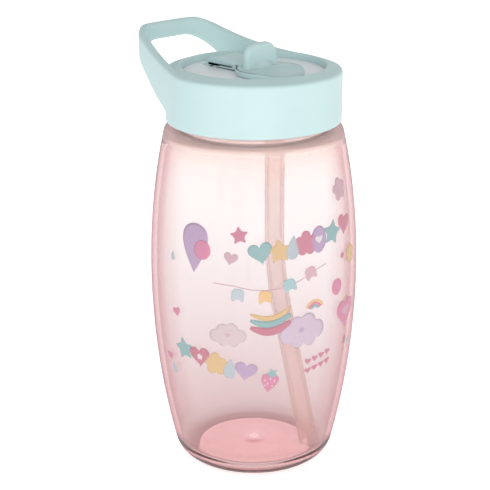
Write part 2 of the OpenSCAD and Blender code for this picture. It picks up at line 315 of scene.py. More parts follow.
# The edge dye is mixed over the painted foot shade.
dye_and_foot_shade = add(tree, "ShaderNodeMix", {7: linear("#b85c68")},
           {0: edge.outputs["Result"], 6: painted_foot_shade.outputs["Color"]}, data_type="RGBA")
glass = add(tree, "ShaderNodeBsdfPrincipled",
            {"Roughness": 0.03, "IOR": 1.36, "Transmission Weight": 1.0},
            {"Base Color": dye_and_foot_shade.outputs[2], "Normal": bump.outputs["Normal"]})
skim = add(tree, "ShaderNodeBsdfRefraction",
           {"Color": linear("#c56a75"), "Roughness": 0.03, "IOR": 1.36})
along = add(tree, "ShaderNodeMapRange", {"From Min": 0.55, "From Max": 0.97,
                                         "To Min": 0.0, "To Max": 0.85},
            {"Value": slant.outputs["Facing"]})
deep = add(tree, "ShaderNodeMixShader", None,
           {0: along.outputs["Result"], 1: glass.outputs["BSDF"], 2: skim.outputs["BSDF"]})
haze = add(tree, "ShaderNodeBsdfTranslucent", {"Color": linear("#fffaf8")})
chalk = add(tree, "ShaderNodeBsdfDiffuse", {"Color": linear("#fff6f3")})
milk = add(tree, "ShaderNodeMixShader", {0: 0.5},
           {1: haze.outputs["BSDF"], 2: chalk.outputs["BSDF"]})
shoulder = add(tree, "ShaderNodeMapRange",
               {"From Min": 0.1165, "From Max": 0.1215, "To Min": 0.0, "To Max": 0.25},
               {"Value": parts.outputs["Z"]})
misted = add(tree, "ShaderNodeMixShader", None,
             {0: shoulder.outputs["Result"], 1: deep.outputs["Shader"],
              2: milk.outputs["Shader"]})
lamps_through = add(tree, "ShaderNodeBsdfTransparent", {"Color": linear("#fdf1f0")})
rays = add(tree, "ShaderNodeLightPath")
either = add(tree, "ShaderNodeMixShader", None,
             {0: rays.outputs["Is Shadow Ray"], 1: misted.outputs["Shader"],
              2: lamps_through.outputs["BSDF"]})
dye = add(tree, "ShaderNodeVolumeAbsorption", {"Color": linear("#e2a5a5"), "Density": 38.0})
tree.links.new(either.outputs["Shader"], out.inputs["Surface"])
tree.links.new(dye.outputs["Volume"], out.inputs["Volume"])

bottle = piece("bottle_shell", [turned(body_profile, 192, neck_ripple)], clear_pink, "bottle")
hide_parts("bottle_body")

# ---------------------------------------------------------------------------
# Screw cap: one satin polypropylene moulding. The collar, its sloping rim, the
# inner thread, the deck and the well for the folded spout are all turned shapes.
# ---------------------------------------------------------------------------
cap_r = cap_high[0]
skirt_bottom = 126.4
cap_top = 144.5
skirt_r = 28.8
rim_r = 25.5
rim_z = 146.5
well_r = 22.4
well_wall = 1.8
well_floor = 131
well_bottom = 129.2
deck_bottom = 140
ledge_z = 142.4
ledge_r = 25.1
spout_x = 10.5


def rounded(points, radii, n=6):
    """A profile whose corners are rounded: each corner gives way to an arc of its own radius."""
    done = [np.array([points[0]], float)]
    for before, corner, after, r in zip(points, points[1:], points[2:], radii):
        a, p, b = (np.array(v, float) for v in (before, corner, after))
        u = (a - p) / np.linalg.norm(a - p)
        v = (b - p) / np.linalg.norm(b - p)
        half = acos(np.clip(u @ v, -1, 1)) / 2
        if r <= 0 or half > 1.55:
            done.append(p[None])
            continue
        run = r / tan(half)
        middle = p + (u + v) / np.linalg.norm(u + v) * r / sin(half)
        t = np.linspace(-1, 1, n + 1)[:, None] * (pi / 2 - half)
        side = (u - v) / np.linalg.norm(u - v)
        inward = -(u + v) / np.linalg.norm(u + v)
        turn = middle + r * (np.cos(t) * inward - np.sin(t) * side)
        done += [(p + u * (run + 0.25))[None], turn, (p + v * (run + 0.25))[None]]
    done.append(np.array([points[-1]], float))
    return np.concatenate(done)


def skirt_ripple(angle, z):
    """The skirt's thread stands 1.3 mm in from its inner wall, midway between the neck's ridges."""
    inside = np.zeros_like(z)
    inside[skirt_rows] = 1
    return -1.3 * inside * thread_ridge(angle, z, thread_z - thread_lead / 4, 30, 180)


under_deck = rounded([[0, well_bottom], [well_r + well_wall, well_bottom],
                      [well_r + well_wall, deck_bottom], [skirt_r, deck_bottom],
                      [skirt_r, 139]], [1.2, 0.5, 0.5])
skirt_z = np.linspace(138.5, skirt_bottom + 1, 44)
skirt_run = np.stack([np.full_like(skirt_z, skirt_r), skirt_z], -1)
skirt_rows = slice(len(under_deck), len(under_deck) + len(skirt_run))
over_cap = rounded([[skirt_r, skirt_bottom + 0.8], [skirt_r, skirt_bottom],
                    [cap_r, skirt_bottom], [cap_r, cap_top + 0.25], [rim_r, rim_z],
                    [ledge_r, 144.2], [ledge_r, ledge_z], [well_r, ledge_z],
                    [well_r, well_floor], [0, well_floor]],
                   [0.4, 1.3, 1.3, 0.6, 0, 0.2, 0.4, 1.5], 8)
cap_profile = np.concatenate([under_deck, skirt_run, over_cap])

# Polypropylene from a finely blasted mould: satin, with an even pastel pigment that light
# sinks into a little, and a grain of about 0.3 mm.
mint, tree, out = new_material("polypropylene_moulded_mint")
place = add(tree, "ShaderNodeTexCoord")
grain = add(tree, "ShaderNodeTexNoise", {"Scale": 2600.0, "Detail": 2.0},
            {"Vector": place.outputs["Object"]})
flow = add(tree, "ShaderNodeTexNoise", {"Scale": 60.0, "Detail": 2.0},
           {"Vector": place.outputs["Object"]})
tint = add(tree, "ShaderNodeMix", {6: linear("#bdd7d8"), 7: linear("#c5dede")},
           {0: flow.outputs["Fac"]}, data_type="RGBA")
satin = add(tree, "ShaderNodeMapRange", {"To Min": 0.36, "To Max": 0.48},
            {"Value": grain.outputs["Fac"]})
bump = add(tree, "ShaderNodeBump", {"Strength": 0.25, "Distance": 0.00004},
           {"Height": grain.outputs["Fac"]})
plastic = add(tree, "ShaderNodeBsdfPrincipled",
              {"IOR": 1.49, "Subsurface Weight": 0.12, "Subsurface Radius": (0.6, 0.9, 0.9),
               "Subsurface Scale": 0.002},
              {"Base Color": tint.outputs[2], "Roughness": satin.outputs["Result"],
               "Normal": bump.outputs["Normal"]})
tree.links.new(plastic.outputs["BSDF"], out.inputs["Surface"])

collar = piece("cap_collar", [turned(cap_profile, 224, skirt_ripple)], mint, "cap")

# ---------------------------------------------------------------------------
# Finger loop: a strap moulded with the cap. It follows the collar, leaves it on a
# tangent on each side, and closes in a crossbar behind. Its upper edge sweeps up.
# ---------------------------------------------------------------------------
strap_t = 3.4
loop_corner_r = 14
loop_half = 6.4
loop_back = -cap_low[0]
loop_top = cap_high[2]
loop_front = 8.7
loop_foot = 144.7
strap_round = 1.25
corner_x = loop_back - loop_corner_r
corner_reach = sqrt(corner_x ** 2 + loop_half ** 2)
loop_turn = (180 - np.degrees(atan(loop_half / corner_x))
             - np.degrees(acos((cap_r - loop_corner_r) / corner_reach)))


def even(path, gap):
    """The same open line with points an even gap apart, by its running length."""
    run = np.concatenate([[0], np.cumsum(np.linalg.norm(np.diff(path, axis=0), axis=1))])
    at = np.linspace(0, run[-1], int(run[-1] / gap) + 1)
    return np.stack([np.interp(at, run, path[:, k]) for k in range(path.shape[1])], -1)


def loop_upper(x):
    """Height of the strap's upper edge: level with the rim in front, rising as a power of the
    distance back, and level again over the crossbar."""
    back = np.clip((loop_front - x) / (loop_front + loop_back - strap_t / 2), 0, None)
    rise = loop_foot + (loop_top - loop_foot) * back ** 2.3 - 0.16 * np.clip(x - loop_front, 0, 20)
    return np.minimum(rise, loop_top)


def loop_lower(x):
    """Height of the strap's lower edge: a parabola from the cap's lower edge up to the crossbar."""
    return skirt_bottom - 0.12 * x + 0.0082 * x * x


def loop_strap():
    """The strap's surface: a rounded upright rectangle carried round the loop. Beside the collar
    its outer face lies just inside the collar's wall and comes out of it on the tangent."""
    plan = np.concatenate([
        arc(0, 0, cap_r, 55, loop_turn, 40),
        arc(-corner_x, loop_half, loop_corner_r, loop_turn, 180, 40),
        arc(-corner_x, -loop_half, loop_corner_r, 180, 360 - loop_turn, 40),
        arc(0, 0, cap_r, 360 - loop_turn, 305, 40)])
    plan = even(plan, 0.9)
    ahead = np.gradient(plan, axis=0)
    ahead /= np.linalg.norm(ahead, axis=1)[:, None]
    outward = np.stack([ahead[:, 1], -ahead[:, 0]], -1)
    turn = np.abs(np.degrees(np.arctan2(plan[:, 1], plan[:, 0])))
    free = step(loop_turn - 14, loop_turn + 1, turn)
    phi = np.radians(np.concatenate([np.linspace(90 * k, 90 * k + 90, 7) for k in range(4)]))
    side = np.repeat([1, -1, -1, 1], 7)
    tall = np.repeat([1, 1, -1, -1], 7)
    x_outer = plan[:, 0:1]
    high = loop_upper(x_outer)
    low = np.maximum(loop_lower(x_outer), skirt_bottom + 0.3)
    half = (high - low) / 2
    across = side * (strap_t / 2 - strap_round) + strap_round * np.cos(phi)
    up = (high + low) / 2 + tall * (half - strap_round) + strap_round * np.sin(phi)
    hidden = 0.3 * (1 - free)[:, None] * (1 - step(142.3, 143.2, up)) * (across > 0)
    across = across[None, :] - strap_t / 2 - hidden
    place = plan[:, None, :] + outward[:, None, :] * across[:, :, None]
    ring = np.concatenate([place, up[:, :, None]], -1)
    middle = ring.mean(axis=1, keepdims=True)
    first = np.repeat(middle[:1], ring.shape[1], axis=1)
    last = np.repeat(middle[-1:], ring.shape[1], axis=1)
    return np.concatenate([first, ring, last])


piece("finger_loop", [loop_strap()], mint, "cap", sharp=60)

# ---------------------------------------------------------------------------
# Hinge ears: two small upright lugs on the well's floor, moulded with the cap.
# The cover's stub pins turn in them. The bores are hidden, so they aren't drawn.
# ---------------------------------------------------------------------------
hinge = next(j for j in frame["joints"] if j["name"] == "cover_flip")
hinge_x, _, hinge_z = (v / MM for v in hinge["pos_m"])
ear_r = 2.6
ear_inner = 4.6
ear_outer = 7.2


def slab(outline, low, high, soft, inset=0.3):
    """A plate of the closed outline between two levels, as rows of its edge: the flat faces
    close on the outline's middle and the edges are rounded by quarter circles."""
    ahead = np.roll(outline, -1, 0) - np.roll(outline, 1, 0)
    ahead /= np.linalg.norm(ahead, axis=1)[:, None]
    outward = np.stack([ahead[:, 1], -ahead[:, 0]], -1)
    middle = np.repeat(outline.mean(0)[None], len(outline), 0)
    turn = np.radians(np.linspace(0, 90, 6))
    sink = np.concatenate([[soft + inset], soft * (1 - np.sin(turn)),
                           soft * (1 - np.cos(turn)), [soft + inset]])
    level = np.concatenate([[low], low + soft * (1 - np.cos(turn)),
                            high - soft * (1 - np.sin(turn)), [high]])
    rows = outline[None] - outward[None] * sink[:, None, None]
    rows = np.concatenate([middle[None], rows, middle[None]])
    level = np.concatenate([[low], level, [high]])
    return np.concatenate([rows, np.broadcast_to(level[:, None, None],
                                                 (*rows.shape[:2], 1))], -1)


def across_y(grid):
    """Turns a plate drawn in X and Z, with its thickness third, so that it stands across Y."""
    return grid[..., [0, 2, 1]]


ear_line = np.concatenate([
    arc(hinge_x, hinge_z, ear_r, 0, 180, 24),
    np.stack([np.full(8, hinge_x - ear_r), np.linspace(hinge_z - 1, well_floor - 0.4, 8)], -1),
    np.stack([np.full(8, hinge_x + ear_r), np.linspace(well_floor - 0.4, hinge_z - 1, 8)], -1)])
ears = [across_y(slab(ear_line, low, low + ear_outer - ear_inner, 0.4))
        for low in (ear_inner, -ear_outer)]
piece("hinge_ears", ears, mint, "cap")
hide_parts("screw_cap")

# ---------------------------------------------------------------------------
# Lid insert: a thin pale plate that snaps into the recess of the cap and holds the
# spout's flange down. A slot lets the hinge and the spout through.
# ---------------------------------------------------------------------------
insert_low, insert_high = (np.array(v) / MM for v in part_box("lid_insert"))
insert_r = insert_high[0]
slot_half = 5.5
slot_back = -21.7


def ray_line(points, centre, angle):
    """A closed outline that can be seen whole from the centre, as its points at given angles."""
    off = points - centre
    seen = np.unwrap(np.arctan2(off[:, 1], off[:, 0]))
    far = np.linalg.norm(off, axis=1)
    order = np.argsort(np.mod(seen, 2 * pi))
    seen, far = np.mod(seen, 2 * pi)[order], far[order]
    r = np.interp(angle, np.concatenate([seen - 2 * pi, seen, seen + 2 * pi]), np.tile(far, 3))
    return centre + np.stack([r * np.cos(angle), r * np.sin(angle)], -1)


def insert_plate():
    """A ring of rows from the slot's edge out to the round edge and back underneath, each
    row between the slot's outline and the circle, with both edges rounded."""
    angle = np.linspace(0, 2 * pi, 288, endpoint=False)
    centre = np.array([-3.0, 0.0])
    slot = np.concatenate([arc(spout_x, 0, slot_half, -90, 90, 30),
                           even(np.array([[spout_x, slot_half], [slot_back + 1, slot_half]]), 0.4),
                           arc(slot_back + 1, slot_half - 1, 1, 90, 180, 8),
                           even(np.array([[slot_back, slot_half - 1],
                                          [slot_back, 1 - slot_half]]), 0.4),
                           arc(slot_back + 1, 1 - slot_half, 1, 180, 270, 8),
                           even(np.array([[slot_back + 1, -slot_half],
                                          [spout_x, -slot_half]]), 0.4)])
    inner = ray_line(slot, centre, angle)
    outer = ray_line(arc(0, 0, insert_r, 0, 360, 360), centre, angle)
    away = outer - inner
    width = np.linalg.norm(away, axis=1)[:, None]
    turn = np.radians(np.linspace(0, 90, 6))
    soft = 0.35
    low, high = insert_low[2], insert_high[2]
    at = [(soft * (1 - np.cos(t)), high - soft * (1 - np.sin(t))) for t in turn]
    at += [(width * k, high) for k in (0.15, 0.5, 0.85)]
    at += [(width - soft * (1 - np.cos(t)), high - soft * (1 - np.sin(t))) for t in turn[::-1]]
    at += [(width, low), (width * 0.5, low), (0, low), (0, high - soft)]
    rows = [np.concatenate([inner + away / width * run, np.full((len(angle), 1), z)], -1)
            for run, z in at]
    return np.stack(rows)


# Natural polypropylene with a little white pigment: pale, cool and satin.
pale, tree, out = new_material("polypropylene_moulded_pale")
place = add(tree, "ShaderNodeTexCoord")
grain = add(tree, "ShaderNodeTexNoise", {"Scale": 1800.0, "Detail": 2.0},
            {"Vector": place.outputs["Object"]})
shade = add(tree, "ShaderNodeMix", {6: linear("#e6ebef"), 7: linear("#eff2f5")},
            {0: grain.outputs["Fac"]}, data_type="RGBA")
satin = add(tree, "ShaderNodeMapRange", {"To Min": 0.26, "To Max": 0.36},
            {"Value": grain.outputs["Fac"]})
plastic = add(tree, "ShaderNodeBsdfPrincipled",
              {"IOR": 1.49, "Subsurface Weight": 0.2, "Subsurface Radius": (1.0, 1.0, 1.0),
               "Subsurface Scale": 0.002},
              {"Base Color": shade.outputs[2], "Roughness": satin.outputs["Result"]})
tree.links.new(plastic.outputs["BSDF"], out.inputs["Surface"])

insert = piece("lid_insert_plate", [insert_plate()], pale, "cap")
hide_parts("lid_insert")

# ---------------------------------------------------------------------------
# Flip cover: one mint moulding with a scooped round dish, an upright thumb tab, a
# humped tail over the hinge, and a hub with a stub pin on each side.
# ---------------------------------------------------------------------------
cover_high = np.array(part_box("flip_cover")[1]) / MM
dish_x = 8
dish_r = cover_high[1]
cover_bottom = 144.1
cover_top = 146.0
tail_half = 5.4
tail_x = -17.5
waist_r = 5
arch_half = 5.4
hump_r = 7.9
hump_foot_z = 146.3
lip_deg = 158
lip_in_r = 6.2
scoop_x = 12
scoop_along = 7.2
scoop_across = 9.8
scoop_depth = 1.35
tab_x = 1.7
tab_t = 3.0
tab_w = 14.5
tab_top = cover_high[2]
tab_corner = 4.8
hub_r = 3.2
hub_half = 4.2
pin_r = 1.6
pin_half = 7


def cover_line():
    """The cover's outline: a round dish, a waist of two hollow arcs and a narrow square tail."""
    waist_y = tail_half + waist_r
    waist_x = dish_x - sqrt((dish_r + waist_r) ** 2 - waist_y ** 2)
    touch = 180 - np.degrees(atan(waist_y / (dish_x - waist_x)))
    half = np.concatenate([
        arc(dish_x, 0, dish_r, 0, touch, 90),
        arc(waist_x, waist_y, waist_r, touch - 180, -90, 14)[1:],
        even(np.array([[waist_x - 0.3, tail_half], [tail_x, tail_half]]), 0.4),
        even(np.array([[tail_x, tail_half - 0.3], [tail_x, 0]]), 0.4)])
    return np.concatenate([half, half[-2:0:-1] * [1, -1]])


def cover_height(x, y):
    """Height of the plate's top: flat, with a scooped oval in the dish that falls to the front."""
    oval_share = 1 - ((x - scoop_x) / scoop_along) ** 2 - (y / scoop_across) ** 2
    scoop = scoop_depth * np.clip(oval_share, 0, 1) ** 0.7
    return cover_top - scoop - 0.9 * step(13, 20, x)


def cover_shell():
    """Rows from the middle of the top out to the rounded edge, then in under the flat bottom."""
    line = cover_line()
    centre = np.array([3.0, 0.0])
    soft = 0.75
    share = np.concatenate([np.linspace(0, 0.93, 34), [0.95, 0.965]])
    rows = []
    for s in share:
        at = centre + (line - centre) * s
        rows.append(np.concatenate([at, cover_height(at[:, :1], at[:, 1:])], -1))
    far = np.linalg.norm(line - centre, axis=1)[:, None]
    inward = (centre - line) / far
    rim = cover_height(line[:, :1], line[:, 1:])
    for t in np.radians(np.linspace(90, 0, 8)):
        at = line + inward * soft * (1 - cos(t))
        rows.append(np.concatenate([at, rim - soft * (1 - sin(t))], -1))
    for sink, lift in ((0, 0.35), (0.1, 0.1), (0.35, 0), (1.0, 0)):
        at = line + inward * sink
        rows.append(np.concatenate([at, np.full((len(line), 1), cover_bottom + lift)], -1))
    at = np.repeat(centre[None], len(line), 0)
    rows.append(np.concatenate([at, np.full((len(line), 1), cover_bottom)], -1))
    return np.stack(rows)


def tab_shell():
    """An upright slab with round upper corners and soft edges, a little thicker at its foot."""
    half = tab_w / 2
    foot = cover_top - 1.3
    rise = even(np.array([[half, foot], [half, tab_top - tab_corner]]), 0.5)
    line = np.concatenate([
        rise, arc(half - tab_corner, tab_top - tab_corner, tab_corner, 0, 90, 14)[1:],
        even(np.array([[half - tab_corner - 0.3, tab_top], [0, tab_top]]), 0.5)])
    line = np.concatenate([line, line[-2::-1] * [-1, 1],
                           even(np.array([[-half + 0.5, foot], [half - 0.5, foot]]), 0.5)])
    grid = slab(line, -tab_t / 2, tab_t / 2, 1.15)
    y, z, x = grid[..., 0], grid[..., 1], grid[..., 2]
    flare = 1 + 0.5 * np.exp(-np.clip(z - cover_top + 0.4, 0, None) / 0.7)
    spread = 1 + 0.12 * np.exp(-np.clip(z - cover_top + 0.4, 0, None) / 0.7)
    lean = -0.05 * (z - cover_top)
    return np.stack([tab_x + tab_t / 2 + x * flare + lean, y * spread, z], -1)


def bar_y(r, half, soft):
    """A round bar along Y on the hinge's axis, turned from a rounded profile."""
    line = rounded([[0, -half], [r, -half], [r, half], [0, half]], [soft, soft])
    grid = turned(line, 48)
    return np.stack([grid[..., 0] + hinge_x, grid[..., 2], grid[..., 1] + hinge_z], -1)


web_line = np.concatenate([
    arc(hinge_x, hinge_z, hub_r, 180, 360, 30),
    even(np.array([[hinge_x + hub_r, hinge_z + 0.3], [hinge_x + hub_r, cover_top - 1]]), 0.5),
    even(np.array([[hinge_x + hub_r - 0.4, cover_top - 1],
                   [hinge_x - hub_r + 0.4, cover_top - 1]]), 0.5),
    even(np.array([[hinge_x - hub_r, cover_top - 1], [hinge_x - hub_r, hinge_z + 0.3]]), 0.5)])
arch_line = np.concatenate([
    np.array([[tab_x + 1, cover_bottom + 0.5], [tab_x + 1, hump_foot_z - 0.3]]),
    even(np.array([[tab_x + 0.6, hump_foot_z], [hinge_x + 1.5, hinge_z + hump_r - 0.12]]), 0.5),
    arc(hinge_x, hinge_z, hump_r, 85, lip_deg, 40),
    arc(hinge_x, hinge_z, lip_in_r, lip_deg, lip_deg, 0),
    even(np.array([[hinge_x - 4.2, hinge_z + 3.2], [hinge_x - 2, hinge_z + 3.7],
                   [hinge_x + 2, cover_bottom + 0.4]]), 0.5),
    even(np.array([[hinge_x + 3, cover_bottom + 0.45], [tab_x, cover_bottom + 0.5]]), 1.0)])
cover = piece("flip_cover_shell",
              [cover_shell(), tab_shell(),
               across_y(slab(arch_line, -arch_half, arch_half, 0.25)),
               across_y(slab(web_line, -hub_half, hub_half, 0.4)),
               bar_y(pin_r, pin_half, 0.4)],
              mint, "cover")
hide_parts("flip_cover")

# ---------------------------------------------------------------------------
# Spout foot: the lower part of the soft silicone spout. Its flange lies on the well's
# floor, its stem goes through, and the stub below grips the straw.
# ---------------------------------------------------------------------------
flange_r = 7
flange_top = 132.2
stem_r = 4.75
stub_r = 5.6
stub_bottom = 125.6
straw_r = 3.5
straw_top = 130.4
bore_r = 2.6
fold_z = 137

# Clear silicone rubber: softer in its gloss than glass, slightly cloudy in the mass.
silicone, tree, out = new_material("silicone_rubber_moulded_clear")
place = add(tree, "ShaderNodeTexCoord")
cloud = add(tree, "ShaderNodeTexNoise", {"Scale": 150.0, "Detail": 1.0},
            {"Vector": place.outputs["Object"]})
satin = add(tree, "ShaderNodeMapRange", {"To Min": 0.28, "To Max": 0.34},
            {"Value": cloud.outputs["Fac"]})
rubber = add(tree, "ShaderNodeBsdfPrincipled",
             {"Base Color": linear("#f3f1ee"), "IOR": 1.41, "Transmission Weight": 0.25},
             {"Roughness": satin.outputs["Result"]})
tree.links.new(rubber.outputs["BSDF"], out.inputs["Surface"])

foot_profile = rounded([[straw_r, 128], [straw_r, stub_bottom], [stub_r, stub_bottom],
                        [stub_r, well_bottom], [stem_r, well_bottom], [stem_r, well_floor],
                        [flange_r, well_floor], [flange_r, flange_top], [5.4, flange_top],
                        [4.6, flange_top + 0.3], [3.6, 131.6], [bore_r, 131.5],
                        [bore_r, straw_top], [straw_r, straw_top], [straw_r, 128]],
                       [0.3, 0.8, 0.4, 0, 0, 0.3, 0.4, 0.3, 0.2, 0.2, 0.3, 0, 0])
spout_foot = piece("spout_foot", [turned(foot_profile, 64) + [spout_x, 0, 0]], silicone, "cap")
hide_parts("spout_base")

# ---------------------------------------------------------------------------
# Spout tube: the upper part of the same silicone moulding, folded flat under the
# closed cover. A round knee sits at the fold and a soft bead at the lip.
# ---------------------------------------------------------------------------
knee_r = 4.5
spout_len = 19

spout_profile = rounded([[bore_r, 8], [bore_r, -3.6], [2.9, -3.45], [3.9, -2.25], [knee_r, 0],
                         [4.2, 3.2], [3.75, 8], [3.65, 15.6], [4.15, 17.3], [3.9, spout_len],
                         [bore_r - 0.3, spout_len], [bore_r, 17], [bore_r, 8]],
                        [0.1, 0.3, 1.5, 2.5, 3, 5, 1.5, 0.8, 0.7, 0.4, 0.6])
tube = turned(spout_profile, 64)
folded = np.stack([spout_x - tube[..., 2], tube[..., 1], fold_z + tube[..., 0]], -1)
spout = piece("spout_tube", [folded], silicone, "spout")
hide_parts("spout_tip")

# ---------------------------------------------------------------------------
# Drinking straw: an extruded tube pushed up into the spout's stub. It hangs straight,
# then a soft set in the plastic leads it out to the foot of the wall.
# ---------------------------------------------------------------------------
straw_wall = 0.8
straw_azimuth = 39.5
bend_top = 88
bend_r = 150
bend_deg = 11
straw_end = 7


def straw_tube():
    """The straw's outside, its cut end and its bore, as rings square to its centre line. The
    line is upright, then an arc through the bend angle, then straight."""
    tilt = np.radians(np.concatenate([np.zeros(12), np.linspace(0, bend_deg, 16),
                                      np.full(12, bend_deg)]))
    low = bend_top - bend_r * sin(radians(bend_deg))
    out_to = bend_r * (1 - cos(radians(bend_deg)))
    down = np.linspace(0, low - straw_end, 13)[1:]
    off = np.concatenate([np.zeros(12), bend_r * (1 - np.cos(tilt[12:28])),
                          out_to + down * tan(radians(bend_deg))])
    z = np.concatenate([np.linspace(straw_top, bend_top + 1, 12),
                        bend_top - bend_r * np.sin(tilt[12:28]), low - down])
    order = np.concatenate([np.arange(40), [39, 39], np.arange(39, -1, -1)])
    r = np.concatenate([np.full(39, straw_r),
                        [straw_r, straw_r - 0.15, straw_r - straw_wall + 0.15],
                        np.full(40, straw_r - straw_wall)])
    tilt, off, z = tilt[order, None], off[order, None], z[order, None]
    angle = np.linspace(0, 2 * pi, 40, endpoint=False)[None, :]
    r = r[:, None]
    out_x = off + r * np.cos(angle) * np.cos(tilt)
    side = r * np.sin(angle) + 0 * tilt
    up = z + r * np.cos(angle) * np.sin(tilt)
    turn = radians(straw_azimuth)
    grid = np.stack([spout_x + out_x * cos(turn) - side * sin(turn),
                     out_x * sin(turn) + side * cos(turn), up], -1)
    return np.concatenate([grid, grid[:1]])


# Low-density polyethylene tube: milky and see-through, denser where one looks along the wall.
milky, tree, out = new_material("polyethylene_extruded_natural")
place = add(tree, "ShaderNodeTexCoord")
draw = add(tree, "ShaderNodeTexNoise", {"Scale": 300.0, "Detail": 1.0},
           {"Vector": place.outputs["Object"]})
satin = add(tree, "ShaderNodeMapRange", {"To Min": 0.25, "To Max": 0.35},
            {"Value": draw.outputs["Fac"]})
slant = add(tree, "ShaderNodeLayerWeight", {"Blend": 0.5})
cover_up = add(tree, "ShaderNodeMapRange", {"From Min": 0.2, "To Min": 0.2, "To Max": 0.6},
               {"Value": slant.outputs["Facing"]})
tube_wall = add(tree, "ShaderNodeBsdfPrincipled",
                {"Base Color": linear("#f1dcd5"), "IOR": 1.4},
                {"Roughness": satin.outputs["Result"], "Alpha": cover_up.outputs["Result"]})
tree.links.new(tube_wall.outputs["BSDF"], out.inputs["Surface"])

straw = piece("straw_tube", [straw_tube()], milky, "cap")
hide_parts("drinking_straw")

# ---------------------------------------------------------------------------
# Cap seal: a flat silicone washer under the cap's deck, which the bottle's mouth
# presses on when the cap is tight.
# ---------------------------------------------------------------------------
seal_low, seal_high = (np.array(v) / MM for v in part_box("cap_seal"))
seal_inner = 24.3
seal_profile = rounded([[26, seal_low[2]], [seal_high[0], seal_low[2]],
                        [seal_high[0], seal_high[2]], [seal_inner, seal_high[2]],
                        [seal_inner, seal_low[2]], [26, seal_low[2]]], [0.3, 0.3, 0.3, 0.3])
seal = piece("seal_washer", [turned(seal_profile, 160)], silicone, "seal")
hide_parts("cap_seal")

# ---------------------------------------------------------------------------
# Vent valve: a silicone button in the well's floor, with a slit bill below that lets
# air in while one drinks.
# ---------------------------------------------------------------------------
vent_x = -2
vent_y = 13
vent_profile = rounded([[0, 126.8], [0.9, 126.8], [2.4, well_bottom], [1.5, well_bottom],
                        [1.5, well_floor], [3.2, well_floor], [3.2, well_floor + 0.8],
                        [1.0, well_floor + 0.8], [0.6, well_floor + 0.3], [0, well_floor + 0.3]],
                       [0.3, 0.3, 0, 0, 0.2, 0.35, 0.2, 0.2])
vent = piece("vent_button", [turned(vent_profile, 48) + [vent_x, vent_y, 0]], silicone, "cap")
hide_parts("vent_valve")

# ---------------------------------------------------------------------------
# Print: flat motifs screen-printed in pastel inks on the outside of the belly. Each
# ink is one piece, a twentieth of a millimetre thick, and a second pass lies on top.
# ---------------------------------------------------------------------------
inks = {}


def wrapped(flat, turn, z, lift):
    """Flat millimetres wrapped on the belly about a turn in degrees and a height: the first
    number runs round the belly and the second runs up."""
    height = z + flat[..., 1]
    r = belly(height)
    angle = radians(turn) + flat[..., 0] / r
    return np.stack([(r + lift) * np.cos(angle), (r + lift) * np.sin(angle), height], -1)


def patch(colour, outline, turn, z, layer=1, tilt=0, across=0, up=0):
    """A filled motif: rows from its middle to its outline, on the belly, and back inside the
    ink. Its own middle may be moved across and up, and it may be tilted."""
    c, s = cos(radians(tilt)), sin(radians(tilt))
    line = np.stack([outline[:, 0] * c - outline[:, 1] * s,
                     outline[:, 0] * s + outline[:, 1] * c], -1)
    rows = np.linspace(0, 1, 8)[:, None, None] * line[None] + [across, up]
    inks.setdefault(colour, []).append(np.concatenate([
        wrapped(rows, turn, z, 0.05 * layer), wrapped(rows[::-1], turn, z, 0.05 * layer - 0.06)]))


def ribbon(colour, line, width, turn, z, layer=1):
    """A printed stroke: a flat tube of the given width or widths along an open line."""
    ahead = np.gradient(line, axis=0)
    ahead /= np.linalg.norm(ahead, axis=1)[:, None]
    left = np.stack([-ahead[:, 1], ahead[:, 0]], -1)
    half = np.broadcast_to(width, len(line))[:, None] / 2
    sides = np.stack([line + left * half * k for k in (-1, -0.35, 0.35, 1)], 1)
    grid = np.concatenate([wrapped(sides, turn, z, 0.05 * layer),
                           wrapped(sides[:, ::-1], turn, z, 0.05 * layer - 0.06)], 1)
    middle = np.repeat(grid.mean(axis=1, keepdims=True), grid.shape[1], axis=1)
    inks.setdefault(colour, []).append(np.concatenate([middle[:1], grid, middle[-1:]]))


def heart(width):
    """A heart outline from the usual sum of cosines, about its own middle."""
    t = np.linspace(0, 2 * pi, 44, endpoint=False)
    x = 16 * np.sin(t) ** 3
    y = 13 * np.cos(t) - 5 * np.cos(2 * t) - 2 * np.cos(3 * t) - np.cos(4 * t)
    return np.stack([x, y + 2.5], -1) * width / 32


def softened(points, rounds=3):
    """A closed outline with its corners cut, each round near a quarter and three quarters."""
    for _ in range(rounds):
        after = np.roll(points, -1, 0)
        points = np.stack([0.78 * points + 0.22 * after,
                           0.22 * points + 0.78 * after], 1).reshape(-1, 2)
    return points


def star(r, points=5, inner=0.5):
    """A star with softened points."""
    a = np.radians(90 + 180 / points * np.arange(2 * points))
    far = r * np.where(np.arange(2 * points) % 2, inner, 1.08)
    return softened(np.stack([far * np.cos(a), far * np.sin(a)], -1), 2)


def oval(width, height):
    """An ellipse."""
    a = np.linspace(0, 2 * pi, 40, endpoint=False)
    return np.stack([width / 2 * np.cos(a), height / 2 * np.sin(a)], -1)


def drop(width, height):
    """A drop: round below and drawn to a point above."""
    t = np.linspace(0, 2 * pi, 40, endpoint=False)
    x = np.sin(t) * np.sin(t / 2) ** 1.3
    return np.stack([x / 0.8 * width / 2, np.cos(t) * height / 2], -1)


def puffs(width, height, discs):
    """The outline round overlapping discs (x, y, r), by the farthest hit of each ray from the
    middle. It is scaled to the width and height."""
    a = np.linspace(0, 2 * pi, 90, endpoint=False)
    far = np.zeros_like(a)
    for x, y, r in discs:
        along = x * np.cos(a) + y * np.sin(a)
        beside = x * np.sin(a) - y * np.cos(a)
        far = np.maximum(far, along + np.sqrt(np.clip(r * r - beside ** 2, 0, None)))
    line = np.stack([far * np.cos(a), far * np.sin(a)], -1)
    return line * np.array([width, height]) / (line.max(0) - line.min(0))


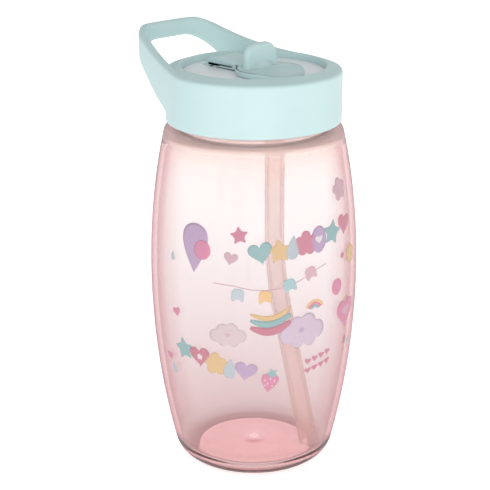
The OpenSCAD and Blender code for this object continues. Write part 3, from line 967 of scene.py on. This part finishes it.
def flower(r, petals=5):
    """A flower of round petals."""
    a = np.radians(90 + 360 / petals * np.arange(petals))
    return puffs(2 * r, 2 * r, [(0.6 * cos(k), 0.6 * sin(k), 0.42) for k in a])


cloud_discs = ((-1.1, -0.1, 0.55), (-0.45, 0.35, 0.6), (0.35, 0.45, 0.62), (1.1, 0.0, 0.55),
               (0.5, -0.45, 0.5), (-0.4, -0.45, 0.5))

# The upper row of motifs, climbing to the right.
patch("mint", heart(8.4), -40.3, 88.7, tilt=12)
patch("yellow", star(4.6), -30.4, 89.3, tilt=6)
patch("pale_blue", drop(5.0, 8.6), -22.7, 90.4, tilt=-6)
patch("pink", flower(4.2), -14.8, 91.0)
patch("lilac", oval(6.6, 9.4), -6.4, 91.6, tilt=-4)
patch("white", heart(3.2), -6.4, 91.4, layer=2)
patch("mint", star(4.7), 3.8, 92.6, tilt=-12)
patch("pink", heart(8.0), 15.5, 93.6, tilt=-10)
# The lower row, falling to the right.
patch("mint", star(4.4), -86.2, 50.6, tilt=10)
patch("raspberry", heart(8.2), -75.4, 49.0, tilt=4)
patch("white", star(1.5), -75.4, 49.2, layer=2)
patch("yellow", flower(4.2), -65.6, 47.6)
patch("pale_blue", drop(4.8, 8.0), -57.4, 46.5, tilt=-8)
patch("lilac", heart(8.0), -48.6, 45.4, tilt=-10)
# Small fillers.
patch("pink", star(3.3), -51.8, 95, tilt=8)
patch("pale_pink", heart(5.0), -56.4, 86.7, tilt=-12)
patch("hot_pink", heart(3.8), -90.6, 63.8, tilt=14)
patch("pale_blue", drop(2.2, 3.4), -93.2, 84.3)
patch("pale_pink", flower(3.9), 13.5, 106.5, tilt=12)
patch("hot_pink", heart(3.6), -99.8, 45.2)
patch("pale_blue", drop(3.0, 4.6), -96.6, 41.6)
patch("pale_blue", oval(2.6, 3.0), 24.5, 48.5)
patch("pink", oval(2.2, 2.2), 12.5, 83.0)
# A balloon and a ball.
patch("lilac", drop(11.4, 17.5), -77.5, 89.0, tilt=180)
patch("hot_pink", oval(6.4, 6.8), -72.6, 88.8, layer=2)
# A string of swallow-tailed flags.
string = even(np.array([[-21.0, 1.9], [-14.0, 1.5], [-7.4, 0.2], [-3.0, 0.0], [2.2, 0.4],
                        [7.0, 1.4], [11.5, 3.2], [16.5, 5.4], [20.5, 6.4]]), 0.8)
ribbon("pale_pink", string, 0.32, -33.5, 75.9)
flag = softened(np.array([[-2.2, 2.4], [2.2, 2.4], [2.2, -2.7], [0, -1.1], [-2.2, -2.7]]), 1)
for colour, turn, z, tilt in (("pale_blue", -52.5, 74.0, -4), ("yellow", -38.1, 73.4, 3),
                              ("sky", -24.6, 77.0, 14), ("pale_pink", -12.2, 80.2, 18)):
    patch(colour, flag, turn, z, layer=2, tilt=tilt)
# A long rainbow in three strokes, ending behind a cloud.
sweep = np.linspace(0, 1, 30)
body_of_stroke = np.sqrt(np.clip(np.sin(np.pi * (0.04 + 0.9 * sweep)), 0, 1))
for colour, drop_by, width in (("yellow", -2.3, 2.0), ("mint", 0.0, 2.7), ("raspberry", 2.6, 3.1)):
    stroke = np.stack([-7.0 + 14.0 * sweep,
                       1.0 - drop_by - 2.4 * np.sin(np.pi * sweep) + 1.6 * sweep], -1)
    ribbon(colour, stroke, width * body_of_stroke, -35.0, 64.0)
patch("pale_lilac", puffs(17.5, 12.5, cloud_discs), -16.4, 59.4)
patch("lilac", star(1.3), -17.5, 60.0, layer=2)
for colour, r in (("yellow", 3.5), ("hot_pink", 2.5), ("mint", 1.5)):
    ribbon(colour, arc(0, 0, r, 20, 160, 16), 0.95, -9.4, 66.5, layer=2)
patch("hot_pink", oval(5.4, 6.0), 7.2, 72.4)
patch("hot_pink", heart(12.0), 17.5, 60.5)
patch("pale_pink", heart(5.0), 17.5, 61.3, layer=2)
patch("yellow", flower(3.4), 22.5, 82.0)
patch("pale_cloud", puffs(13.2, 8.8, cloud_discs), -58.2, 59.0)
patch("pale_pink", heart(1.6), -58.2, 59.0, layer=2)
# A strawberry.
patch("hot_pink", drop(6.8, 7.6), -35.2, 41.0, tilt=170)
for across, up in ((-1.5, 1.2), (0.4, 1.7), (1.8, 0.6), (-0.6, -0.3), (1.0, -1.3), (-1.7, -0.9)):
    patch("white", oval(0.5, 0.7), -35.2, 41.0, layer=2, across=across, up=up)
patch("mint", star(2.3, 5, 0.45), -33.6, 44.6, layer=2, tilt=20)
# Two short rows of small hearts.
for k in range(4):
    patch("pink", heart(2.6), -12.4 + 4.6 * k, 47.2 + 0.55 * k, tilt=-8)
    patch("pink", heart(2.6), -12.0 + 4.6 * k, 43.6 + 0.55 * k, tilt=8)


def ink(name, code):
    """Screen-printing ink cured on copolyester: it lets a little light through, and is softly
    glossy with a faint mottle from the mesh."""
    made, tree, out = new_material("screen_ink_" + name)
    place = add(tree, "ShaderNodeTexCoord")
    mesh_mark = add(tree, "ShaderNodeTexNoise", {"Scale": 1500.0, "Detail": 2.0},
                    {"Vector": place.outputs["Object"]})
    value = add(tree, "ShaderNodeMapRange", {"To Min": 0.94, "To Max": 1.04},
                {"Value": mesh_mark.outputs["Fac"]})
    colour = add(tree, "ShaderNodeHueSaturation", {"Color": linear(code)},
                 {"Value": value.outputs["Result"]})
    film = add(tree, "ShaderNodeBsdfPrincipled", {"Roughness": 0.35, "IOR": 1.5},
               {"Base Color": colour.outputs["Color"]})
    glow = add(tree, "ShaderNodeBsdfTranslucent", {}, {"Color": colour.outputs["Color"]})
    through = add(tree, "ShaderNodeMixShader", {0: 0.4},
                  {1: film.outputs["BSDF"], 2: glow.outputs["BSDF"]})
    tree.links.new(through.outputs["Shader"], out.inputs["Surface"])
    return made


ink_codes = {"pink": "#eaa7ba", "hot_pink": "#f2abc6", "raspberry": "#e5a0b1",
             "mint": "#b6d5d6", "yellow": "#f8daab", "pale_blue": "#d8e1e6",
             "sky": "#c6dee3", "lilac": "#dbc2df", "pale_lilac": "#eddceb",
             "pale_pink": "#ebccd5", "pale_cloud": "#f2e2e5", "white": "#fdf8f8"}
for colour, grids in inks.items():
    piece("print_" + colour, grids, ink(colour, ink_codes[colour]), "bottle", sharp=180)
